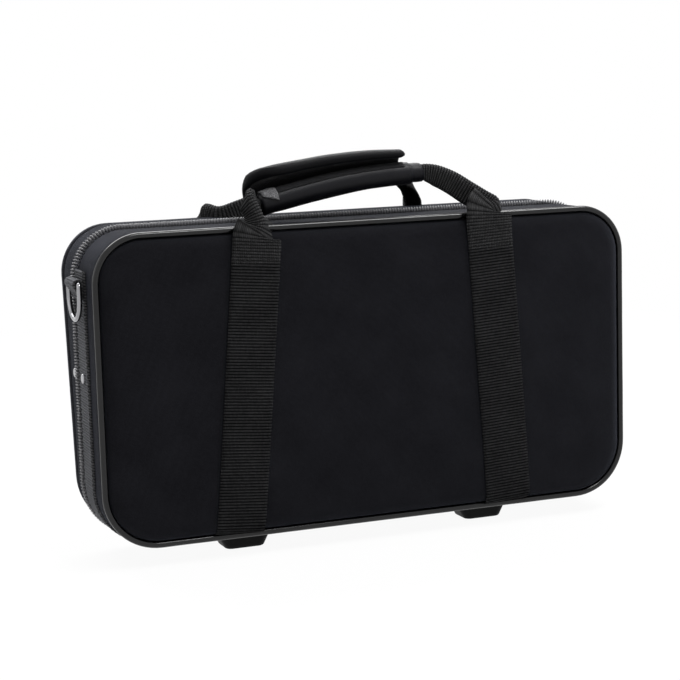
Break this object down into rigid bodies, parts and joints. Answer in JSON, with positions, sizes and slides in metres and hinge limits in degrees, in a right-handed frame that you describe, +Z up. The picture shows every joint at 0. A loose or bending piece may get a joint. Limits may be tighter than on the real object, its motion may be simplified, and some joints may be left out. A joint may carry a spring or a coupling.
{
  "type": "clarinet case",
  "caption": "Soft-sided rectangular case with padded panels, webbing carrying loops, end rings, a zipper round three sides and a lid hinged at the bottom over a fitted foam tray",
  "frame": {"origin": "middle of the bounding box, on the floor the case stands on", "axes": "+X along the length to the right of someone who faces the front panel, -Y out of the front panel, +Z up"},
  "size_m": [0.3856, 0.0975, 0.2596],
  "materials": {
    "oxford": "black woven polyester oxford cloth, matt with a slight sheen",
    "piping": "glossy black vinyl piping",
    "webbing": "black ribbed polypropylene webbing",
    "board": "thin raw hardboard",
    "foam": "moulded foam, as light as a dense fabric",
    "plush": "black short-pile plush",
    "zipper": "black nylon coil and tape",
    "chrome": "bright nickel-plated steel wire",
    "rivet": "plated steel",
    "rubber": "black moulded rubber",
    "slider": "black enamelled zinc",
    "grip": "smooth black padded cloth",
    "fuzzy_tape": "grey-black fuzzy loop tape"
  },
  "bodies": {
    "base": {"front_panel": "oxford", "front_board": "board", "front_piping": "piping", "base_gusset": "oxford", "base_bottom": "oxford", "foam_tray": "foam", "tray_lining": "plush", "base_zipper_tape": "zipper", "base_zipper_coil": "zipper", "hinge_cloth": "oxford", "front_strap_left": "webbing", "front_strap_right": "webbing", "end_band_left": "webbing", "end_band_right": "webbing", "dring_tab_left": "webbing", "dring_tab_right": "webbing", "lid_stay_left": "webbing", "lid_stay_right": "webbing", "foot_left": "rubber", "foot_right": "rubber", "base_rivets": "rivet", "foot_screws": "rivet"},
    "lid": {"lid_gusset": "oxford", "lid_bottom": "oxford", "back_panel": "oxford", "back_binding": "oxford", "lid_board": "board", "lid_pad": "foam", "lid_lining": "plush", "lid_zipper_tape": "zipper", "lid_zipper_coil": "zipper", "back_strap_left": "webbing", "back_strap_right": "webbing", "lid_rivets": "rivet"},
    "left_ring": {"dring_left": "chrome"},
    "right_ring": {"dring_right": "chrome"},
    "front_handle": {"front_loop_left": "webbing", "front_loop_right": "webbing", "grip_core": "webbing", "grip_wrap": "grip", "grip_loop_tape": "fuzzy_tape"},
    "flap": {"grip_flap": "grip"},
    "back_handle": {"back_loop": "webbing"},
    "upper_slider": {"slider_upper": "slider"},
    "upper_pull": {"pull_upper": "slider"},
    "lower_slider": {"slider_lower": "slider"},
    "lower_pull": {"pull_lower": "slider"}
  },
  "joints": [
    {"name": "lid_hinge", "type": "hinge", "parent": "base", "child": "lid", "pos_m": [0, 0.00675, 0.0114], "axis": [-1, 0, 0], "range_deg": [0, 100], "deforming": ["hinge_cloth", "lid_stay_left", "lid_stay_right"]},
    {"name": "left_ring_swing", "type": "hinge", "parent": "base", "child": "left_ring", "pos_m": [-0.18905, -0.01175, 0.18], "axis": [0, 1, 0], "range_deg": [0, 150]},
    {"name": "right_ring_swing", "type": "hinge", "parent": "base", "child": "right_ring", "pos_m": [0.18905, -0.01175, 0.18], "axis": [0, -1, 0], "range_deg": [0, 150]},
    {"name": "front_handle_swing", "type": "hinge", "parent": "base", "child": "front_handle", "pos_m": [0, -0.0504, 0.21], "axis": [1, 0, 0], "range_deg": [0, 190]},
    {"name": "flap_fold", "type": "hinge", "parent": "front_handle", "child": "flap", "pos_m": [-0.012, -0.00585, 0.232], "axis": [-0.9893, 0, -0.1456], "range_deg": [-10, 60]},
    {"name": "back_handle_swing", "type": "hinge", "parent": "lid", "child": "back_handle", "pos_m": [0, 0.0503, 0.2102], "axis": [-1, 0, 0], "range_deg": [0, 190]},
    {"name": "upper_slider_travel", "type": "slide", "parent": "base", "child": "upper_slider", "axis": [0, 0, 1], "range_m": [0, 0.038]},
    {"name": "upper_pull_swing", "type": "hinge", "parent": "upper_slider", "child": "upper_pull", "pos_m": [0.18845, 0.00675, 0.106], "axis": [0, -1, 0], "range_deg": [0, 136]},
    {"name": "lower_slider_travel", "type": "slide", "parent": "base", "child": "lower_slider", "axis": [0, 0, 1], "range_m": [-0.034, 0]},
    {"name": "lower_pull_swing", "type": "hinge", "parent": "lower_slider", "child": "lower_pull", "pos_m": [0.18845, 0.00675, 0.088], "axis": [0, -1, 0], "range_deg": [0, 90]}
  ]
}
